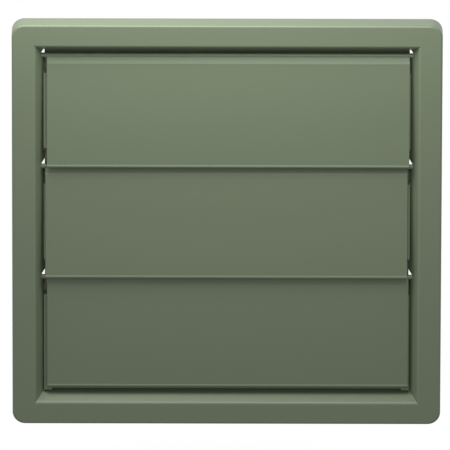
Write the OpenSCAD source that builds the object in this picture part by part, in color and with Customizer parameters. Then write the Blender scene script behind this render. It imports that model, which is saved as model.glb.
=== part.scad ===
// Louvred gravity vent for a round duct.
// One moulded frame carries three flaps. Each flap hangs on two pins moulded on its
// own top edge, closes by its weight and is blown open by the air from the duct.
// The wall is the plane Y = 0, the face looks along -Y, +Z is up, and the duct's
// axis is the Y axis.

/* [Face frame] */
// Outside width and height of the frame
frame_size = 170; // [160:1:200]
// Distance from the wall to the front face
frame_depth = 7.9; // [7.5:0.1:9.5]
// Width of the flat face around the mouth
face_width = 9.1; // [8.5:0.1:12]
// Radius of the four outer corners
corner_radius = 5.1; // [3:0.1:8]
// Rounding of the outer front edge
edge_radius = 0.9; // [0.4:0.1:1.4]
// Thickness of the face, the skirt and the well walls
wall = 1.8; // [1.4:0.1:2]

/* [Well] */
// How far each well wall leans in between the mouth and the ledge
well_inset = 3.8; // [3.2:0.1:4.6]
// Rounding between the face and the well walls
mouth_radius = 1.2; // [0.6:0.1:1.6]
// Thickness of the ledge at the bottom of the well
ledge = 1.4; // [1.2:0.1:1.8]
// Width of the ribs that the flaps close against
rib_width = 2.8; // [2:0.1:4]

/* [Flaps] */
// Thickness of a flap
flap_wall = 1.2; // [1:0.1:1.3]
// Height of the bent-back lip below the pin axis
lip_drop = 3.1; // [2.8:0.1:3.4]
// Distance from the pin axis forward to the front of the blade
lip_reach = 1.9; // [1.7:0.1:2.1]
// Diameter of the rolled lower edge
hem_d = 1.6; // [1.3:0.1:1.8]
// How far the lower edges of the upper two flaps stand out when closed
lean_out = 1.7; // [1.5:0.1:1.9]
// Height of a flap's lower edge above the next pin axis
lap_gap = 0.4; // [0.4:0.1:1.2]
// Height of the lowest edge above the foot of the sill
sill_gap = 1.7; // [1.5:0.1:3]
// Gap between a flap's end and the foot of the well wall
end_gap = 0.45; // [0.3:0.05:0.8]
// Gap between a closed flap and its ribs
stop_gap = 0.2; // [0.15:0.05:0.3]

/* [Hinges] */
// Diameter of the hinge pins
pin_d = 1.9; // [1.6:0.1:2.1]
// Radial clearance of a pin in its seat
pin_clearance = 0.15; // [0.1:0.05:0.25]
// Length of pin held in its seat
pin_hold = 2; // [1.6:0.1:3]
// Clear space around the top edge of the flap
bead_gap = 0.55; // [0.45:0.05:0.8]
// Width of the window beside each flap end
window_width = 1.2; // [1:0.1:1.6]
// Height of the window above the pin axis
window_rise = 2.7; // [2.2:0.1:3]
// Thickness of the seat around a pin
seat_wall = 1.5; // [1.2:0.1:1.8]

/* [Duct spigot] */
// Outside diameter, for a 100 mm duct
spigot_d = 98.5; // [90:0.5:108]
// Wall of the spigot
spigot_wall = 1.6; // [1.2:0.1:2.5]
// Length of the spigot behind the wall face
spigot_length = 30; // [20:1:60]
// Lead-in at the end of the spigot
spigot_chamfer = 0.8; // [0.3:0.1:1]

/* [Fixing holes] */
// Diameter of the screw holes
screw_d = 4.5; // [3.5:0.1:5]
// Diameter of the countersinks
screw_head_d = 8.3; // [7.5:0.1:8.5]
// Distance of each hole from the well walls beside it
screw_edge = 12.1; // [11:0.1:14]
// Height of the pads around the screw holes
pad_height = 1; // [0.8:0.1:1.2]

/* [Webs in the hollow back] */
// Thickness of the stiffening webs
web = 1.2; // [1:0.1:1.6]
// Height that the webs stay below the wall face
web_relief = 1; // [0.5:0.1:2]

/* [Hidden] */
$fn = 64;
cut = 1;                   // how far a cutter runs past what it cuts
bite = 0.4;                // how far joined solids run into each other

// Side play taken up by each flap as it hangs, as a share of the end gap
FLAP_PLAY = [1, -0.4, 0.9];
FLAPS = len(FLAP_PLAY);

face_y = -frame_depth;
ledge_y = -ledge;
well_depth = frame_depth - ledge;
mouth_half = frame_size / 2 - face_width;
foot_half = mouth_half - well_inset;
slope = atan(well_inset / well_depth);

pin_r = pin_d / 2;
pin_y = ledge_y - pin_r - bead_gap;
top_pin_z = foot_half - pin_r - bead_gap;
pitch = (top_pin_z + foot_half - sill_gap + lap_gap) / FLAPS;
flap_height = pitch - lap_gap;
flap_length = 2 * (foot_half - end_gap);
blade_y = flap_wall / 2 - lip_reach;
lean = asin(lean_out / flap_height);

seat_r = pin_r + pin_clearance;
seat_x = foot_half + window_width;
seat_end = seat_x + pin_hold + 2 * end_gap;
pin_end = seat_x + pin_hold;

// Each hinge station, measured from its pin axis
window_drop = seat_r;
window_corner = window_rise - 1.05 * window_width;
pocket_top = -(seat_r + 2.2);
pocket_bottom = -(seat_r + 6.6);
pocket_floor = 0.6;        // what is left of the ledge under a pocket
rib_rise = seat_r + 5.2;   // lower end of the rib above the next pin axis

pad_d = screw_head_d + 2.7;
screw_at = foot_half - screw_edge;

function pin_z(i) = top_pin_z - i * pitch;
function flap_lean(i) = i < FLAPS - 1 ? lean : 0;

// A flat outline in X and Z, made solid between two values of Y
module along_y(y0, y1) {
    translate([0, y1, 0])
        rotate([90, 0, 0])
            linear_extrude(y1 - y0)
                children();
}

// A section in Y and Z, made solid between two values of X
module along_x(x0, x1) {
    translate([x0, 0, 0])
        rotate([90, 0, 90])
            linear_extrude(x1 - x0)
                children();
}

// A round solid on an axis along Y, from a section of radius and Y
module about_y() {
    rotate([-90, 0, 0])
        rotate_extrude()
            children();
}

module both_sides() {
    children();
    mirror([1, 0, 0])
        children();
}

module rounded_square(half, r) {
    square([2 * half, 2 * (half - r)], center = true);
    square([2 * (half - r), 2 * half], center = true);
    for (x = [-1, 1], z = [-1, 1])
        translate([x * (half - r), z * (half - r)])
            circle(r);
}

// Section of the block, as depth and half width, with its front edge rounded
module block_section(half) {
    translate([face_y, 0])
        difference() {
            square([frame_depth, half]);
            translate([0, half - edge_radius])
                difference() {
                    translate([-cut, 0])
                        square([edge_radius + cut, edge_radius + cut]);
                    translate([edge_radius, 0])
                        circle(edge_radius);
                }
        }
}

// The whole block, before it is hollowed: two crossed bars and four round corners
module block() {
    half = frame_size / 2;
    straight = half - corner_radius;
    along_x(-straight, straight)
        for (side = [0, 1])
            mirror([0, side])
                block_section(half);
    rotate([0, 90, 0])
        along_x(-straight, straight)
            for (side = [0, 1])
                mirror([0, side])
                    block_section(half);
    for (x = [-1, 1], z = [-1, 1])
        translate([x * straight, 0, z * straight])
            about_y()
                mirror([1, -1])
                    block_section(corner_radius);
}

// Section of the well, as Y and half width, with the rounded lip of the mouth
function lip_arc() = [
    for (step = [0 : 6])
        let (turn = step / 6 * (90 - slope))
            [mouth_radius * (1 - cos(turn)), -mouth_radius * sin(turn)]
];
lip_run = mouth_radius / tan((90 + slope) / 2);
function well_half_section() = concat(
    [[face_y - cut, mouth_half + lip_run]],
    [for (p = lip_arc()) [face_y + p[0], mouth_half + lip_run + p[1]]],
    [[ledge_y, foot_half]]
);

module well_section() {
    half = well_half_section();
    last = len(half) - 1;
    polygon(concat(half, [for (i = [last : -1 : 0]) [half[i][0], -half[i][1]]]));
}

// What is cut out of the front: four flat walls that meet in sharp mitres
module well() {
    reach = frame_size;
    intersection() {
        along_x(-reach, reach)
            well_section();
        rotate([0, 90, 0])
            along_x(-reach, reach)
                well_section();
    }
}

// Outside of the well walls, seen from the hollow back
module well_shell() {
    skin = wall / cos(slope);
    section = [
        [face_y, mouth_half + skin],
        [cut, foot_half + skin - well_inset / well_depth * (ledge + cut)],
        [cut, -foot_half - skin + well_inset / well_depth * (ledge + cut)],
        [face_y, -mouth_half - skin]
    ];
    intersection() {
        along_x(-frame_size, frame_size)
            polygon(section);
        rotate([0, 90, 0])
            along_x(-frame_size, frame_size)
                polygon(section);
    }
}

// Channel between the well walls and the skirt, open at the back
module hollow() {
    difference() {
        along_y(face_y + wall, cut)
            rounded_square(frame_size / 2 - wall, max(corner_radius - wall, 0.5));
        well_shell();
    }
}

// Thin webs that stiffen the skirt, three on each side
module webs() {
    outer = frame_size / 2 - wall + bite;
    inner = foot_half + bite;
    for (turn = [0 : 90 : 270], along = [-1, 0, 1])
        rotate([0, turn, 0])
            translate([inner, face_y + bite, along * pitch - web / 2])
                cube([outer - inner, frame_depth - bite - web_relief, web]);
}

// Block behind the well wall that holds one pin
module seat_block() {
    size = seat_r + seat_wall;
    translate([foot_half, pin_y - size, -size])
        cube([seat_end - foot_half, size - pin_y, 2 * size]);
}

// Everything cut at one pin: its bore, the window beside it and the pocket below
module seat_cuts() {
    translate([foot_half, pin_y, 0])
        rotate([0, 90, 0])
            cylinder(r = seat_r, h = seat_end - foot_half + cut);
    along_y(face_y, cut)
        polygon([
            [foot_half, -window_drop],
            [seat_x, -window_drop],
            [seat_x, window_corner],
            [foot_half, window_rise]
        ]);
    along_y(face_y, -pocket_floor)
        translate([foot_half - rib_width, pocket_bottom])
            square([rib_width + window_width / 2, pocket_top - pocket_bottom]);
}

// Rib that one end of a flap closes against, parallel to the closed flap
module stop_rib(i) {
    last = i == FLAPS - 1;
    front = blade_y + flap_wall / 2 + stop_gap;
    low = last ? -flap_height - sill_gap : rib_rise - pitch;
    deep = -pin_y;
    intersection() {
        translate([0, pin_y, pin_z(i)])
            rotate([-flap_lean(i), 0, 0])
                along_x(foot_half - rib_width, foot_half + bite)
                    polygon([
                        [front, pocket_bottom],
                        [deep, pocket_bottom],
                        [deep, low],
                        [front + 2, low],
                        [front, last ? low : low + 2]
                    ]);
        translate([0, ledge_y - well_depth, -mouth_half])
            cube([mouth_half, well_depth + ledge / 2, 2 * mouth_half]);
    }
}

module screw_places() {
    for (x = [-1, 1], z = [-1, 1])
        translate([x * screw_at, 0, z * screw_at])
            rotate([-90, 0, 0])
                children();
}

module screw_pad() {
    translate([0, 0, ledge_y - pad_height])
        cylinder(d = pad_d, h = pad_height + ledge / 2);
}

module screw_hole() {
    sink = (screw_head_d - screw_d) / 2;
    translate([0, 0, ledge_y - pad_height])
        cylinder(d1 = screw_head_d, d2 = screw_d, h = sink);
    translate([0, 0, ledge_y - pad_height - cut])
        cylinder(d = screw_d, h = ledge + pad_height + 2 * cut);
}

// Round tube for the duct, with a lead-in at its end
module spigot() {
    outer = spigot_d / 2;
    inner = outer - spigot_wall;
    about_y()
        polygon([
            [inner, ledge_y],
            [outer, ledge_y],
            [outer, spigot_length - spigot_chamfer],
            [outer - spigot_chamfer / 2, spigot_length],
            [inner, spigot_length]
        ]);
}

module frame() {
    color("#7f8c73")
        difference() {
            union() {
                difference() {
                    block();
                    hollow();
                }
                webs();
                both_sides()
                    for (i = [0 : FLAPS - 1])
                        translate([0, 0, pin_z(i)])
                            seat_block();
                spigot();
            }
            difference() {
                well();
                screw_places()
                    screw_pad();
                both_sides()
                    for (i = [0 : FLAPS - 1])
                        stop_rib(i);
            }
            translate([0, ledge_y - cut, 0])
                rotate([-90, 0, 0])
                    cylinder(d = spigot_d - 2 * spigot_wall, h = ledge + 2 * cut);
            screw_places()
                screw_hole();
            both_sides()
                for (i = [0 : FLAPS - 1])
                    translate([0, 0, pin_z(i)])
                        seat_cuts();
        }
}

// Section of a flap about its pin axis, hanging straight down: the lip slopes forward
// to the bend, and the blade runs down from there to the rolled lower edge
module flap_section() {
    half = flap_wall / 2;
    bend = [blade_y, -lip_drop];
    tilt = atan2(-blade_y, lip_drop);
    side = half * [-cos(tilt), sin(tilt)];
    inside = half / cos(tilt / 2) * [cos(tilt / 2), -sin(tilt / 2)];
    hem = [blade_y, hem_d / 2 - flap_height];
    outside = [
        for (step = [0 : 4])
            let (turn = tilt * (1 - step / 4))
                bend + half * [-cos(turn), sin(turn)]
    ];
    polygon(concat([side], outside, [hem - [half, 0], hem + [half, 0], bend + inside, -side]));
    translate(hem)
        circle(d = hem_d);
}

// A flap in its closed place, with the bead and both pins in one round bar
module flap(i) {
    shift = FLAP_PLAY[i] * end_gap;
    tip = 0.3;
    color("#66725c")
        translate([shift, pin_y, pin_z(i)])
            rotate([-flap_lean(i), 0, 0]) {
                along_x(-flap_length / 2, flap_length / 2)
                    flap_section();
                rotate([0, 90, 0])
                    cylinder(r = pin_r, h = 2 * (pin_end - tip), center = true);
                both_sides()
                    translate([pin_end - tip, 0, 0])
                        rotate([0, 90, 0])
                            cylinder(r1 = pin_r, r2 = pin_r - tip, h = tip);
            }
}

module flap_top() {
    flap(0);
}

module flap_middle() {
    flap(1);
}

module flap_bottom() {
    flap(2);
}

frame();
flap_top();
flap_middle();
flap_bottom();
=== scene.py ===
"""Moulded plastic finish and a plain studio for a square louvred gravity vent."""

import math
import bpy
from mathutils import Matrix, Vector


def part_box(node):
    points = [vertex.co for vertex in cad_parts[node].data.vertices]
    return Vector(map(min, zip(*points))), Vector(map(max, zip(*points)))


bl_info = {
    "name": "Louvred Gravity Vent",
    "version": (1, 0, 0),
    "blender": (4, 5, 0),
    "location": "3D View > Sidebar > Vent",
    "description": "Moulded plastic finish and a plain studio for a square gravity vent",
    "category": "Material",
}

import bpy
from mathutils import Matrix, Vector

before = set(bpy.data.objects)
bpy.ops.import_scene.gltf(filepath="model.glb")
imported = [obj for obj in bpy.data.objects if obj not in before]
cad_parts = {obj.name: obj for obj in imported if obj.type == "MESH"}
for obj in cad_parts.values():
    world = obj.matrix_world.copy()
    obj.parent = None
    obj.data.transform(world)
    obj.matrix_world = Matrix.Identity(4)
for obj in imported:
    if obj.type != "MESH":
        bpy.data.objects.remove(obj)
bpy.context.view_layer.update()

MM = 0.001
FRAME_LOW, FRAME_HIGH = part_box("frame")
FACE = Vector((0, FRAME_LOW.y, 0))
VENT_WIDTH = FRAME_HIGH.x - FRAME_LOW.x
FLAPS = ("flap_top", "flap_middle", "flap_bottom")

# Where the photograph shows the vent, in its own pixels
PHOTO_SIZE = 450
PHOTO_VENT_WIDTH = 429.5
PHOTO_VENT_CENTRE = (226.8, 226.0)


class VentPlasticSettings(bpy.types.PropertyGroup):
    """Colours and surface of the moulded plastic."""

    frame_colour: bpy.props.FloatVectorProperty(
        name="Frame colour",
        description="Colour of the frame's plastic",
        subtype="COLOR",
        size=3,
        min=0,
        max=1,
        default=(0.158, 0.198, 0.124),
    )
    # Painted shade: the flaps' colour is the frame's plastic made a little darker for the shade
    # of the recess; the real plastic is one colour.
    flap_colour_painted_darker: bpy.props.FloatVectorProperty(
        name="Flap colour",
        description="Colour of the flaps' plastic",
        subtype="COLOR",
        size=3,
        min=0,
        max=1,
        default=(0.152, 0.192, 0.119),
    )
    frame_roughness: bpy.props.FloatProperty(
        name="Frame roughness",
        description="Roughness of the satin skin on the frame",
        subtype="FACTOR",
        min=0,
        max=1,
        default=0.36,
    )
    flap_roughness: bpy.props.FloatProperty(
        name="Flap roughness",
        description="Roughness of the satin skin on the flaps",
        subtype="FACTOR",
        min=0,
        max=1,
        default=0.4,
    )
    grain_size: bpy.props.FloatProperty(
        name="Grain size",
        description="Size of the fine grain left by the mould",
        unit="LENGTH",
        min=0.05 * MM,
        max=2 * MM,
        default=0.3 * MM,
    )
    grain_depth: bpy.props.FloatProperty(
        name="Grain depth",
        description="Height of the fine grain",
        unit="LENGTH",
        min=0,
        max=0.05 * MM,
        default=0.002 * MM,
    )
    edge_radius: bpy.props.FloatProperty(
        name="Edge radius",
        description="Softness of the moulded edges",
        unit="LENGTH",
        min=0,
        max=1 * MM,
        default=0.25 * MM,
    )


class VentStudioSettings(bpy.types.PropertyGroup):
    """Camera, light and floor."""

    elevation: bpy.props.FloatProperty(
        name="Camera elevation",
        description="Height of the camera above the vent's face",
        subtype="ANGLE",
        default=math.radians(21.9),
    )
    roll: bpy.props.FloatProperty(
        name="Camera roll",
        description="Turn of the picture, clockwise",
        subtype="ANGLE",
        default=math.radians(0.13),
    )
    lens: bpy.props.FloatProperty(
        name="Focal length",
        description="Focal length of the camera's long lens, in millimetres",
        min=50,
        max=1500,
        default=1400,
    )
    key_power: bpy.props.FloatProperty(
        name="Key light",
        description="Power of the strip light over the top edge",
        unit="POWER",
        default=0.75,
    )
    soft_power: bpy.props.FloatProperty(
        name="Soft light",
        description="Power of the large light above and in front",
        unit="POWER",
        default=0.4,
    )
    surround: bpy.props.FloatProperty(
        name="Surround",
        description="Strength of the even light from all round",
        min=0,
        max=2,
        default=0.33,
    )
    floor_drop: bpy.props.FloatProperty(
        name="Floor drop",
        description="Distance from the vent's centre down to the floor",
        unit="LENGTH",
        default=0.3,
    )
    floor_radius: bpy.props.FloatProperty(
        name="Floor radius",
        description="Radius of the pale floor",
        unit="LENGTH",
        default=0.5,
    )


def add_node(tree, kind, place, inputs=None, **settings):
    """A new node of that kind at a place in the editor, with its settings and input values."""
    node = tree.nodes.new(kind)
    node.location = place
    for name, value in settings.items():
        setattr(node, name, value)
    for name, value in (inputs or {}).items():
        node.inputs[name].default_value = value
    return node


def new_group(name, inputs, outputs):
    """An empty shader node group with named sockets, and its input and output nodes."""
    tree = bpy.data.node_groups.new(name, "ShaderNodeTree")
    for label, kind, value in inputs:
        socket = tree.interface.new_socket(name=label, in_out="INPUT", socket_type=kind)
        if value is not None:
            socket.default_value = value
    for label, kind in outputs:
        tree.interface.new_socket(name=label, in_out="OUTPUT", socket_type=kind)
    start = add_node(tree, "NodeGroupInput", (-900, 0))
    end = add_node(tree, "NodeGroupOutput", (700, 0))
    return tree, start, end


def mould_grain_group():
    """Fine grain of a spark-eroded mould: a height and a small change of gloss."""
    tree, start, end = new_group(
        "Mould grain",
        [
            ("Position", "NodeSocketVector", None),
            ("Grains per metre", "NodeSocketFloat", 3000.0),
            ("Gloss spread", "NodeSocketFloat", 0.05),
            ("Roughness", "NodeSocketFloat", 0.4),
        ],
        [("Height", "NodeSocketFloat"), ("Roughness", "NodeSocketFloat")],
    )
    link = tree.links.new
    fine = add_node(tree, "ShaderNodeTexNoise", (-600, 200), {"Detail": 2.0, "Roughness": 0.6})
    broad = add_node(tree, "ShaderNodeTexNoise", (-600, -200), {"Scale": 28.0, "Detail": 3.0})
    link(start.outputs["Position"], fine.inputs["Vector"])
    link(start.outputs["Grains per metre"], fine.inputs["Scale"])
    link(start.outputs["Position"], broad.inputs["Vector"])
    mixed = add_node(tree, "ShaderNodeMath", (-300, -100), operation="ADD")
    link(fine.outputs["Fac"], mixed.inputs[0])
    link(broad.outputs["Fac"], mixed.inputs[1])
    centred = add_node(tree, "ShaderNodeMath", (-100, -100), operation="SUBTRACT")
    link(mixed.outputs[0], centred.inputs[0])
    centred.inputs[1].default_value = 1.0
    spread = add_node(tree, "ShaderNodeMath", (100, -100), operation="MULTIPLY")
    link(centred.outputs[0], spread.inputs[0])
    link(start.outputs["Gloss spread"], spread.inputs[1])
    rough = add_node(tree, "ShaderNodeMath", (300, -100), operation="ADD", use_clamp=True)
    link(spread.outputs[0], rough.inputs[0])
    link(start.outputs["Roughness"], rough.inputs[1])
    link(fine.outputs["Fac"], end.inputs["Height"])
    link(rough.outputs[0], end.inputs["Roughness"])
    return tree


def pigment_group():
    """Pigmented plastic: faint flow marks along the moulding, fine specks of pigment, and a
    painted highlight along the edges.
    """
    tree, start, end = new_group(
        "Pigmented plastic",
        [
            ("Position", "NodeSocketVector", None),
            ("Colour", "NodeSocketColor", (0.15, 0.19, 0.12, 1)),
            ("Flow", "NodeSocketFloat", 0.04),
            ("Specks", "NodeSocketFloat", 0.03),
            ("Edge", "NodeSocketFloat", 0.0),
        ],
        [("Colour", "NodeSocketColor")],
    )
    link = tree.links.new
    stretched = add_node(tree, "ShaderNodeMapping", (-700, 250), {"Scale": (1.0, 1.0, 2.5)})
    flow = add_node(tree, "ShaderNodeTexNoise", (-500, 250), {"Scale": 14.0, "Detail": 4.0})
    specks = add_node(tree, "ShaderNodeTexNoise", (-500, -50), {"Scale": 4200.0, "Detail": 1.0})
    link(start.outputs["Position"], stretched.inputs["Vector"])
    link(stretched.outputs[0], flow.inputs["Vector"])
    link(start.outputs["Position"], specks.inputs["Vector"])
    parts = []
    for source, amount, height in ((flow, "Flow", 200), (specks, "Specks", -50)):
        centred = add_node(tree, "ShaderNodeMath", (-300, height), operation="SUBTRACT")
        centred.inputs[1].default_value = 0.5
        link(source.outputs["Fac"], centred.inputs[0])
        scaled = add_node(tree, "ShaderNodeMath", (-120, height), operation="MULTIPLY")
        link(centred.outputs[0], scaled.inputs[0])
        link(start.outputs[amount], scaled.inputs[1])
        parts.append(scaled)
    both = add_node(tree, "ShaderNodeMath", (60, 100), operation="ADD")
    link(parts[0].outputs[0], both.inputs[0])
    link(parts[1].outputs[0], both.inputs[1])
    # Painted highlight: the Edge amount lightens the colour along the edges.
    with_painted_highlight = add_node(tree, "ShaderNodeMath", (220, 100), operation="ADD")
    link(both.outputs[0], with_painted_highlight.inputs[0])
    link(start.outputs["Edge"], with_painted_highlight.inputs[1])
    gain = add_node(tree, "ShaderNodeMath", (380, 100), operation="ADD")
    gain.inputs[1].default_value = 1.0
    link(with_painted_highlight.outputs[0], gain.inputs[0])
    tinted = add_node(tree, "ShaderNodeVectorMath", (540, 100), operation="SCALE")
    link(start.outputs["Colour"], tinted.inputs[0])
    link(gain.outputs[0], tinted.inputs["Scale"])
    link(tinted.outputs[0], end.inputs["Colour"])
    return tree


def moulded_edge_group():
    """Edges softened as a mould leaves them: a rounded normal, and a mask along the edges for a
    painted highlight.
    """
    tree, start, end = new_group(
        "Moulded edge",
        [("Radius", "NodeSocketFloat", 0.25 * MM)],
        [("Normal", "NodeSocketVector"), ("Edge", "NodeSocketFloat")],
    )
    link = tree.links.new
    soft = add_node(tree, "ShaderNodeBevel", (-600, 100), samples=6)
    link(start.outputs["Radius"], soft.inputs["Radius"])
    flat = add_node(tree, "ShaderNodeNewGeometry", (-600, -150))
    along = add_node(tree, "ShaderNodeVectorMath", (-350, 0), operation="DOT_PRODUCT")
    link(soft.outputs[0], along.inputs[0])
    link(flat.outputs["Normal"], along.inputs[1])
    # Mask along the edges, where the colour gets a painted highlight.
    edge = add_node(
        tree,
        "ShaderNodeMapRange",
        (-120, 0),
        {"From Min": 1.0, "From Max": 0.75, "To Min": 0.0, "To Max": 1.0},
        clamp=True,
    )
    link(along.outputs["Value"], edge.inputs["Value"])
    link(soft.outputs[0], end.inputs["Normal"])
    link(edge.outputs[0], end.inputs["Edge"])
    return tree


def shared_group(name, make):
    """The node group of that name, made once."""
    return bpy.data.node_groups.get(name) or make()


def moulded_plastic(name, colour, roughness, settings):
    """Satin moulded plastic with mould grain, faint flow marks, soft edges and a painted
    highlight that lightens the colour along the edges.
    """
    material = bpy.data.materials.new(name)
    material.use_nodes = True
    tree = material.node_tree
    tree.nodes.clear()
    link = tree.links.new
    place = add_node(tree, "ShaderNodeTexCoord", (-1100, 0))
    grain = add_node(
        tree,
        "ShaderNodeGroup",
        (-700, -150),
        node_tree=shared_group("Mould grain", mould_grain_group),
    )
    grain.inputs["Grains per metre"].default_value = 1 / settings.grain_size
    grain.inputs["Gloss spread"].default_value = 0.06
    grain.inputs["Roughness"].default_value = roughness
    edge = add_node(
        tree,
        "ShaderNodeGroup",
        (-900, -400),
        node_tree=shared_group("Moulded edge", moulded_edge_group),
    )
    edge.inputs["Radius"].default_value = settings.edge_radius
    # Painted highlight: the colour is made up to 6% lighter along the edges.
    painted_edge_highlight = add_node(tree, "ShaderNodeMath", (-700, 60), operation="MULTIPLY")
    painted_edge_highlight.inputs[1].default_value = 0.06
    pigment = add_node(
        tree,
        "ShaderNodeGroup",
        (-450, 150),
        node_tree=shared_group("Pigmented plastic", pigment_group),
    )
    pigment.inputs["Colour"].default_value = (*colour, 1)
    pigment.inputs["Flow"].default_value = 0.05
    pigment.inputs["Specks"].default_value = 0.04
    bump = add_node(tree, "ShaderNodeBump", (-300, -350), {"Strength": 1.0})
    bump.inputs["Distance"].default_value = settings.grain_depth
    surface = add_node(
        tree,
        "ShaderNodeBsdfPrincipled",
        (0, 0),
        {"IOR": 1.5, "Specular IOR Level": 0.5},
    )
    output = add_node(tree, "ShaderNodeOutputMaterial", (300, 0))
    link(place.outputs["Object"], grain.inputs["Position"])
    link(place.outputs["Object"], pigment.inputs["Position"])
    link(edge.outputs["Edge"], painted_edge_highlight.inputs[0])
    link(painted_edge_highlight.outputs[0], pigment.inputs["Edge"])
    link(pigment.outputs["Colour"], surface.inputs["Base Color"])
    link(grain.outputs["Roughness"], surface.inputs["Roughness"])
    link(grain.outputs["Height"], bump.inputs["Height"])
    link(edge.outputs["Normal"], bump.inputs["Normal"])
    link(bump.outputs["Normal"], surface.inputs["Normal"])
    link(surface.outputs[0], output.inputs["Surface"])
    return material


def dress(node_name, material):
    """Gives a CAD node that one material."""
    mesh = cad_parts[node_name].data
    if not mesh.materials:
        mesh.materials.append(material)
    for slot in range(len(mesh.materials)):
        mesh.materials[slot] = material


class VENT_OT_finish_frame(bpy.types.Operator):
    """Gives the frame its moulded plastic"""

    bl_idname = "vent.finish_frame"
    bl_label = "Finish the frame"

    def execute(self, context):
        settings = context.scene.vent_plastic
        plastic = moulded_plastic(
            "Frame plastic", settings.frame_colour, settings.frame_roughness, settings
        )
        dress("frame", plastic)
        return {"FINISHED"}


class VENT_OT_finish_flaps(bpy.types.Operator):
    """Gives the three flaps their moulded plastic"""

    bl_idname = "vent.finish_flaps"
    bl_label = "Finish the flaps"

    def execute(self, context):
        settings = context.scene.vent_plastic
        # The flaps get a darker copy of the frame's plastic as painted shade.
        plastic = moulded_plastic(
            "Flap plastic", settings.flap_colour_painted_darker, settings.flap_roughness, settings
        )
        for name in FLAPS:
            dress(name, plastic)
        return {"FINISHED"}


def studio_world(strength):
    """Even pale light all round, plain white to the camera and in reflections."""
    world = bpy.data.worlds.new("Studio")
    bpy.context.scene.world = world
    world.use_nodes = True
    tree = world.node_tree
    tree.nodes.clear()
    link = tree.links.new
    rays = add_node(tree, "ShaderNodeLightPath", (-700, 200))
    seen = add_node(tree, "ShaderNodeMath", (-450, 200), operation="MAXIMUM")
    shown = add_node(tree, "ShaderNodeMath", (-250, 200), operation="MAXIMUM")
    link(rays.outputs["Is Camera Ray"], seen.inputs[0])
    link(rays.outputs["Is Glossy Ray"], seen.inputs[1])
    link(seen.outputs[0], shown.inputs[0])
    link(rays.outputs["Is Transmission Ray"], shown.inputs[1])
    light = add_node(tree, "ShaderNodeBackground", (-250, 0), {"Color": (1, 1, 1, 1)})
    light.inputs["Strength"].default_value = strength
    white = add_node(tree, "ShaderNodeBackground", (-250, -150), {"Color": (1, 1, 1, 1)})
    mix = add_node(tree, "ShaderNodeMixShader", (0, 50))
    output = add_node(tree, "ShaderNodeOutputWorld", (200, 50))
    link(shown.outputs[0], mix.inputs[0])
    link(light.outputs[0], mix.inputs[1])
    link(white.outputs[0], mix.inputs[2])
    link(mix.outputs[0], output.inputs["Surface"])


def area_light(name, place, target, size, power):
    """A soft rectangular light at a place, turned to a target."""
    light = bpy.data.lights.new(name, "AREA")
    light.shape = "RECTANGLE"
    light.size, light.size_y = size
    light.energy = power
    lamp = bpy.data.objects.new(name, light)
    lamp.location = place
    lamp.rotation_euler = (Vector(target) - Vector(place)).to_track_quat("-Z", "Y").to_euler()
    lamp.visible_camera = False
    bpy.context.scene.collection.objects.link(lamp)
    return lamp


def floor_material():
    """Pale matt floor that fades out towards its rim."""
    material = bpy.data.materials.new("Pale floor")
    material.use_nodes = True
    tree = material.node_tree
    tree.nodes.clear()
    link = tree.links.new
    place = add_node(tree, "ShaderNodeTexCoord", (-900, 0))
    flat = add_node(tree, "ShaderNodeVectorMath", (-700, 0), operation="LENGTH")
    fade = add_node(
        tree,
        "ShaderNodeMapRange",
        (-500, 0),
        {"From Min": 0.6, "From Max": 1.0},
        clamp=True,
        interpolation_type="SMOOTHSTEP",
    )
    matt = add_node(tree, "ShaderNodeBsdfDiffuse", (-250, 100), {"Color": (0.82, 0.82, 0.81, 1)})
    clear = add_node(tree, "ShaderNodeBsdfTransparent", (-250, -100))
    mix = add_node(tree, "ShaderNodeMixShader", (0, 0))
    output = add_node(tree, "ShaderNodeOutputMaterial", (200, 0))
    link(place.outputs["Object"], flat.inputs[0])
    link(flat.outputs["Value"], fade.inputs["Value"])
    link(fade.outputs[0], mix.inputs[0])
    link(matt.outputs[0], mix.inputs[1])
    link(clear.outputs[0], mix.inputs[2])
    link(mix.outputs[0], output.inputs["Surface"])
    return material


def pale_floor(drop, radius):
    """A round floor below the vent."""
    steps = 96
    rim = [
        (math.cos(turn), math.sin(turn), 0)
        for turn in (2 * math.pi * i / steps for i in range(steps))
    ]
    mesh = bpy.data.meshes.new("Floor")
    mesh.from_pydata(rim, [], [tuple(range(steps))])
    mesh.materials.append(floor_material())
    floor = bpy.data.objects.new("Floor", mesh)
    floor.location = (0, 0, -drop)
    floor.scale = (radius, radius, 1)
    bpy.context.scene.collection.objects.link(floor)
    return floor


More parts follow.
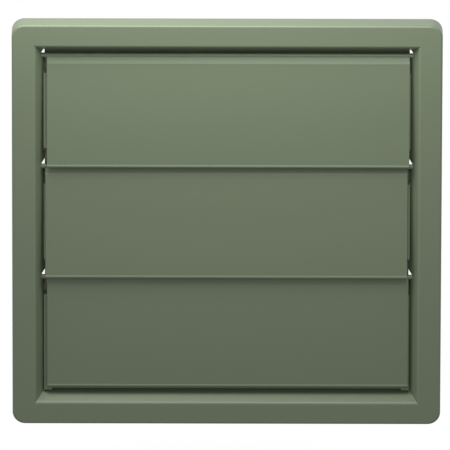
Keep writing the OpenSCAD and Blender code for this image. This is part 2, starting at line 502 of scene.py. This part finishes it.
def photo_camera(elevation, roll, lens):
    """The camera at the photograph's angle, with the vent where the photograph has it."""
    camera = bpy.data.cameras.new("Camera")
    camera.lens = lens
    view_width = VENT_WIDTH * PHOTO_SIZE / PHOTO_VENT_WIDTH
    distance = lens * view_width / camera.sensor_width
    pixel = view_width / PHOTO_SIZE
    back = Vector((0, -math.cos(elevation), math.sin(elevation)))
    up = Vector((0, math.sin(elevation), math.cos(elevation)))
    right = Vector((1, 0, 0))
    middle = PHOTO_SIZE / 2
    target = (
        FACE
        - right * (PHOTO_VENT_CENTRE[0] - middle) * pixel
        + up * (PHOTO_VENT_CENTRE[1] - middle) * pixel
    )
    turned = Matrix.Rotation(roll, 4, back)
    axes = Matrix((right, up, back)).transposed().to_4x4()
    camera.clip_end = 2 * distance
    body = bpy.data.objects.new("Camera", camera)
    body.matrix_world = Matrix.Translation(target + back * distance) @ turned @ axes
    bpy.context.scene.collection.objects.link(body)
    bpy.context.scene.camera = body


class VENT_OT_stage(bpy.types.Operator):
    """Adds the camera, the lights, the world and the floor"""

    bl_idname = "vent.stage"
    bl_label = "Set the stage"

    def execute(self, context):
        settings = context.scene.vent_studio
        context.scene.view_settings.view_transform = "Standard"
        studio_world(settings.surround)
        area_light("Key", (-0.03, -0.08, 0.22), (0, 0, 0.02), (0.3, 0.1), settings.key_power)
        area_light("Soft", (-0.15, -0.9, 0.9), (0, 0, 0), (0.9, 0.6), settings.soft_power)
        pale_floor(settings.floor_drop, settings.floor_radius)
        photo_camera(settings.elevation, settings.roll, settings.lens)
        return {"FINISHED"}


STEPS = (VENT_OT_finish_frame, VENT_OT_finish_flaps, VENT_OT_stage)


class VENT_PT_sidebar(bpy.types.Panel):
    """The vent's finishes and its stage"""

    bl_idname = "VENT_PT_sidebar"
    bl_label = "Gravity vent"
    bl_space_type = "VIEW_3D"
    bl_region_type = "UI"
    bl_category = "Vent"

    def draw(self, context):
        column = self.layout.column()
        for settings in (context.scene.vent_plastic, context.scene.vent_studio):
            for name in settings.__annotations__:
                column.prop(settings, name)
        for step in STEPS:
            column.operator(step.bl_idname)


CLASSES = (VentPlasticSettings, VentStudioSettings, *STEPS, VENT_PT_sidebar)


def register():
    for cls in CLASSES:
        bpy.utils.register_class(cls)
    bpy.types.Scene.vent_plastic = bpy.props.PointerProperty(type=VentPlasticSettings)
    bpy.types.Scene.vent_studio = bpy.props.PointerProperty(type=VentStudioSettings)


def unregister():
    del bpy.types.Scene.vent_studio
    del bpy.types.Scene.vent_plastic
    for cls in reversed(CLASSES):
        bpy.utils.unregister_class(cls)


def main():
    register()
    bpy.ops.vent.finish_frame()
    bpy.ops.vent.finish_flaps()
    bpy.ops.vent.stage()


if __name__ == "__main__":
    main()
